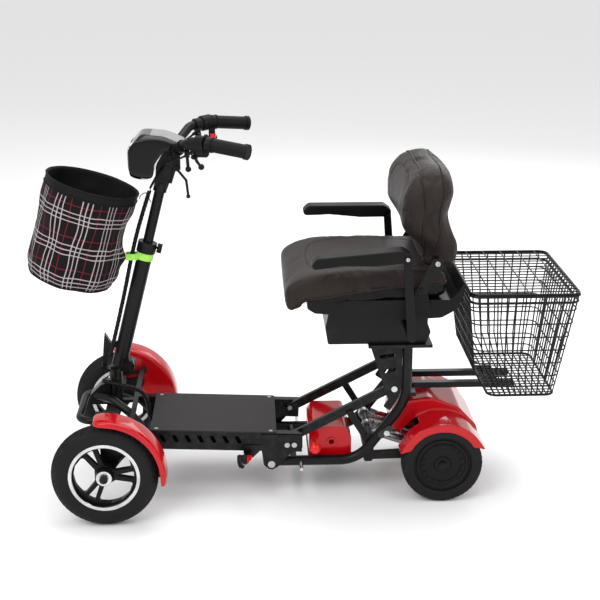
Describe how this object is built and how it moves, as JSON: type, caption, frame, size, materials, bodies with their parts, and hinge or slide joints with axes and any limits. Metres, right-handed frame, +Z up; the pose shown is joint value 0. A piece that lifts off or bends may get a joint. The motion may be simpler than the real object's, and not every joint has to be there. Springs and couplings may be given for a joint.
{
  "type": "mobility scooter",
  "caption": "Folding four-wheel mobility scooter with a steered front, tilting stem, front bag, seat with armrests and a wire basket behind.",
  "frame": {"origin": "on the ground under the middle of the whole scooter", "axes": "+X rearward, +Y to the rider's right, +Z up"},
  "size_m": [1.3323, 0.572, 0.9158],
  "materials": {
    "frame_black": "satin black powder coat",
    "deck_grey": "fine textured dark grey coat",
    "red_plastic": "glossy red moulding",
    "black_plastic": "matt black",
    "gloss_black": "gloss black",
    "bright_steel": "bright zinc plate",
    "spring_steel": "bare steel",
    "tyre_rubber": "worn black",
    "grip_rubber": "matt",
    "brown_leather": "dark brown grained",
    "plaid_fabric": "black plaid weave",
    "strap_green": "neon green webbing",
    "cable_black": "spiral wrap",
    "cast_black": "black cast with a machined edge",
    "switch_red": "glossy",
    "button_pink": "glossy",
    "wire_black": "gloss black dipped wire"
  },
  "bodies": {
    "deck": {"deck_plate": "deck_grey", "deck_frame": "frame_black", "front_beam": "deck_grey", "front_tubes": "frame_black", "fold_brackets": "frame_black", "deck_bolts": "bright_steel", "deck_cable": "cable_black"},
    "latch_hook": {"latch_hook": "black_plastic"},
    "steering": {"steering_column": "frame_black"},
    "knuckle_left": {"knuckle_left": "frame_black", "front_fender_left": "red_plastic"},
    "knuckle_right": {"knuckle_right": "frame_black", "front_fender_right": "red_plastic"},
    "tie_rod": {"tie_rod": "spring_steel"},
    "front_wheel_left": {"front_rim_left": "cast_black", "front_tyre_left": "tyre_rubber"},
    "front_wheel_right": {"front_rim_right": "cast_black", "front_tyre_right": "tyre_rubber"},
    "stem": {"stem_tube": "frame_black", "strap": "strap_green", "front_bag": "plaid_fabric", "stem_loom": "cable_black"},
    "stem_latch": {"stem_latch": "frame_black"},
    "clamp_knob": {"clamp_knob": "black_plastic"},
    "safety_button": {"safety_button": "button_pink"},
    "head": {"upper_post": "frame_black", "head_pod": "gloss_black", "handlebar": "frame_black", "grips": "grip_rubber", "control_clamps": "black_plastic", "control_cables": "cable_black"},
    "brake_lever_left": {"brake_lever_left": "frame_black"},
    "brake_lever_right": {"brake_lever_right": "frame_black"},
    "park_lever": {"park_lever": "black_plastic"},
    "throttle_paddle": {"throttle_paddle": "black_plastic"},
    "rocker_switch": {"rocker_switch": "switch_red"},
    "rear_frame": {"rear_frame": "frame_black", "rear_plates": "frame_black", "struts": "frame_black", "frame_bolts": "bright_steel", "battery_case": "red_plastic", "seat_box": "frame_black", "seat_pan": "black_plastic", "seat_cushion": "brown_leather", "rear_basket": "wire_black", "basket_bars": "frame_black"},
    "lock_plunger": {"lock_plunger": "switch_red"},
    "seat_back": {"seat_back": "brown_leather"},
    "armrest_left": {"armrest_left": "black_plastic"},
    "armrest_right": {"armrest_right": "black_plastic"},
    "swing_arm": {"swing_arm": "frame_black", "rear_hood": "red_plastic"},
    "shocks": {"shock_bodies": "spring_steel", "shock_springs": "spring_steel"},
    "shock_rods": {"shock_rods": "bright_steel"},
    "rear_wheel_left": {"rear_hub_left": "black_plastic", "rear_tyre_left": "tyre_rubber"},
    "rear_wheel_right": {"rear_hub_right": "black_plastic", "rear_tyre_right": "tyre_rubber"},
    "basket_lid": {"basket_lid": "wire_black"}
  },
  "joints": [
    {"name": "steering_turn", "type": "hinge", "parent": "deck", "child": "steering", "pos_m": [-0.4558, 0, 0.26], "axis": [0, 0, 1], "range_deg": [-30, 30]},
    {"name": "knuckle_left_turn", "type": "hinge", "parent": "deck", "child": "knuckle_left", "pos_m": [-0.4648, -0.2, 0.2], "axis": [0, 0, 1], "range_deg": [-30, 30]},
    {"name": "knuckle_right_turn", "type": "hinge", "parent": "deck", "child": "knuckle_right", "pos_m": [-0.4648, 0.2, 0.2], "axis": [0, 0, 1], "range_deg": [-30, 30]},
    {"name": "tie_rod_pin", "type": "hinge", "parent": "knuckle_left", "child": "tie_rod", "pos_m": [-0.4048, -0.2, 0.225], "axis": [0, 0, 1], "range_deg": [-30, 30]},
    {"name": "front_wheel_left_spin", "type": "hinge", "parent": "knuckle_left", "child": "front_wheel_left", "pos_m": [-0.4648, -0.25, 0.1275], "axis": [0, 1, 0], "continuous": true},
    {"name": "front_wheel_right_spin", "type": "hinge", "parent": "knuckle_right", "child": "front_wheel_right", "pos_m": [-0.4648, 0.25, 0.1275], "axis": [0, 1, 0], "continuous": true},
    {"name": "stem_fold", "type": "hinge", "parent": "steering", "child": "stem", "pos_m": [-0.4198, 0, 0.318], "axis": [0, 1, 0], "range_deg": [0, 20]},
    {"name": "stem_latch_lever", "type": "hinge", "parent": "steering", "child": "stem_latch", "pos_m": [-0.4828, 0, 0.307], "axis": [0, -1, 0], "range_deg": [0, 70]},
    {"name": "safety_button_push", "type": "slide", "parent": "stem", "child": "safety_button", "axis": [0.9681, 0, -0.2504], "range_m": [0, 0.003], "stiffness_N_per_m": 500},
    {"name": "clamp_knob_turn", "type": "hinge", "parent": "stem", "child": "clamp_knob", "pos_m": [-0.34632, 0, 0.61505], "axis": [0.9681, 0, -0.2504], "range_deg": [0, 180]},
    {"name": "stem_height", "type": "slide", "parent": "stem", "child": "head", "axis": [0.2504, 0, 0.9681], "range_m": [0, 0.06]},
    {"name": "brake_lever_left_pull", "type": "hinge", "parent": "head", "child": "brake_lever_left", "pos_m": [-0.23919, -0.12928, 0.86391], "axis": [-0.9592, -0.2659, -0.0959], "range_deg": [0, 14], "stiffness_Nm_per_rad": 1.5, "springref_deg": -5.73},
    {"name": "brake_lever_right_pull", "type": "hinge", "parent": "head", "child": "brake_lever_right", "pos_m": [-0.23919, 0.12928, 0.86391], "axis": [0.9592, -0.2659, 0.0959], "range_deg": [0, 14], "stiffness_Nm_per_rad": 1.5, "springref_deg": -5.73},
    {"name": "park_lever_pull", "type": "hinge", "parent": "head", "child": "park_lever", "pos_m": [-0.2838, -0.079, 0.828], "axis": [0, 1, 0], "range_deg": [0, 20], "stiffness_Nm_per_rad": 1, "springref_deg": -5.73},
    {"name": "throttle_press", "type": "hinge", "parent": "head", "child": "throttle_paddle", "pos_m": [-0.2578, -0.095, 0.862], "axis": [0, 1, 0], "range_deg": [0, 25], "stiffness_Nm_per_rad": 0.4, "springref_deg": -11.46},
    {"name": "rocker_switch_tip", "type": "hinge", "parent": "head", "child": "rocker_switch", "pos_m": [-0.2028, 0.128, 0.861], "axis": [1, 0, 0], "range_deg": [-8, 8]},
    {"name": "rear_frame_fold", "type": "hinge", "parent": "deck", "child": "rear_frame", "pos_m": [-0.0678, 0, 0.09], "axis": [0, 1, 0], "range_deg": [0, 150]},
    {"name": "lock_plunger_pull", "type": "slide", "parent": "rear_frame", "child": "lock_plunger", "axis": [0, -1, 0], "range_m": [0, 0.008], "stiffness_N_per_m": 800},
    {"name": "seat_back_fold", "type": "hinge", "parent": "rear_frame", "child": "seat_back", "pos_m": [0.2832, 0, 0.56], "axis": [0, -1, 0], "range_deg": [0, 50]},
    {"name": "armrest_left_lift", "type": "hinge", "parent": "rear_frame", "child": "armrest_left", "pos_m": [0.2442, -0.222, 0.645], "axis": [0, 1, 0], "range_deg": [0, 90]},
    {"name": "armrest_right_lift", "type": "hinge", "parent": "rear_frame", "child": "armrest_right", "pos_m": [0.2442, 0.222, 0.645], "axis": [0, 1, 0], "range_deg": [0, 90]},
    {"name": "swing_arm_bounce", "type": "hinge", "parent": "rear_frame", "child": "swing_arm", "pos_m": [0.1752, 0, 0.093], "axis": [0, -1, 0], "range_deg": [0, 3], "stiffness_Nm_per_rad": 2500, "springref_deg": -4.58},
    {"name": "shock_swing", "type": "hinge", "parent": "rear_frame", "child": "shocks", "pos_m": [0.1752, 0, 0.152], "axis": [0, -1, 0], "range_deg": [0, 3]},
    {"name": "shock_stroke", "type": "slide", "parent": "shocks", "child": "shock_rods", "axis": [0.942, 0, -0.3355], "range_m": [-0.0035, 0], "deforming": ["shock_springs"]},
    {"name": "rear_wheel_left_spin", "type": "hinge", "parent": "swing_arm", "child": "rear_wheel_left", "pos_m": [0.3522, -0.15, 0.1], "axis": [0, 1, 0], "continuous": true},
    {"name": "rear_wheel_right_spin", "type": "hinge", "parent": "swing_arm", "child": "rear_wheel_right", "pos_m": [0.3522, 0.15, 0.1], "axis": [0, 1, 0], "continuous": true},
    {"name": "basket_lid_lift", "type": "hinge", "parent": "rear_frame", "child": "basket_lid", "pos_m": [0.4012, 0, 0.541], "axis": [0, -1, 0], "range_deg": [0, 90]},
    {"name": "latch_hook_turn", "type": "hinge", "parent": "deck", "child": "latch_hook", "pos_m": [-0.1248, -0.14, 0.115], "axis": [0, 1, 0], "range_deg": [0, 30]}
  ],
  "couplings": [
    {"joint": "knuckle_left_turn", "follows": "steering_turn", "ratio": 1},
    {"joint": "knuckle_right_turn", "follows": "steering_turn", "ratio": 1},
    {"joint": "tie_rod_pin", "follows": "steering_turn", "ratio": -1},
    {"joint": "shock_swing", "follows": "swing_arm_bounce", "ratio": 0.8723},
    {"joint": "shock_stroke", "follows": "swing_arm_bounce", "m_per_rad": -0.05558}
  ]
}
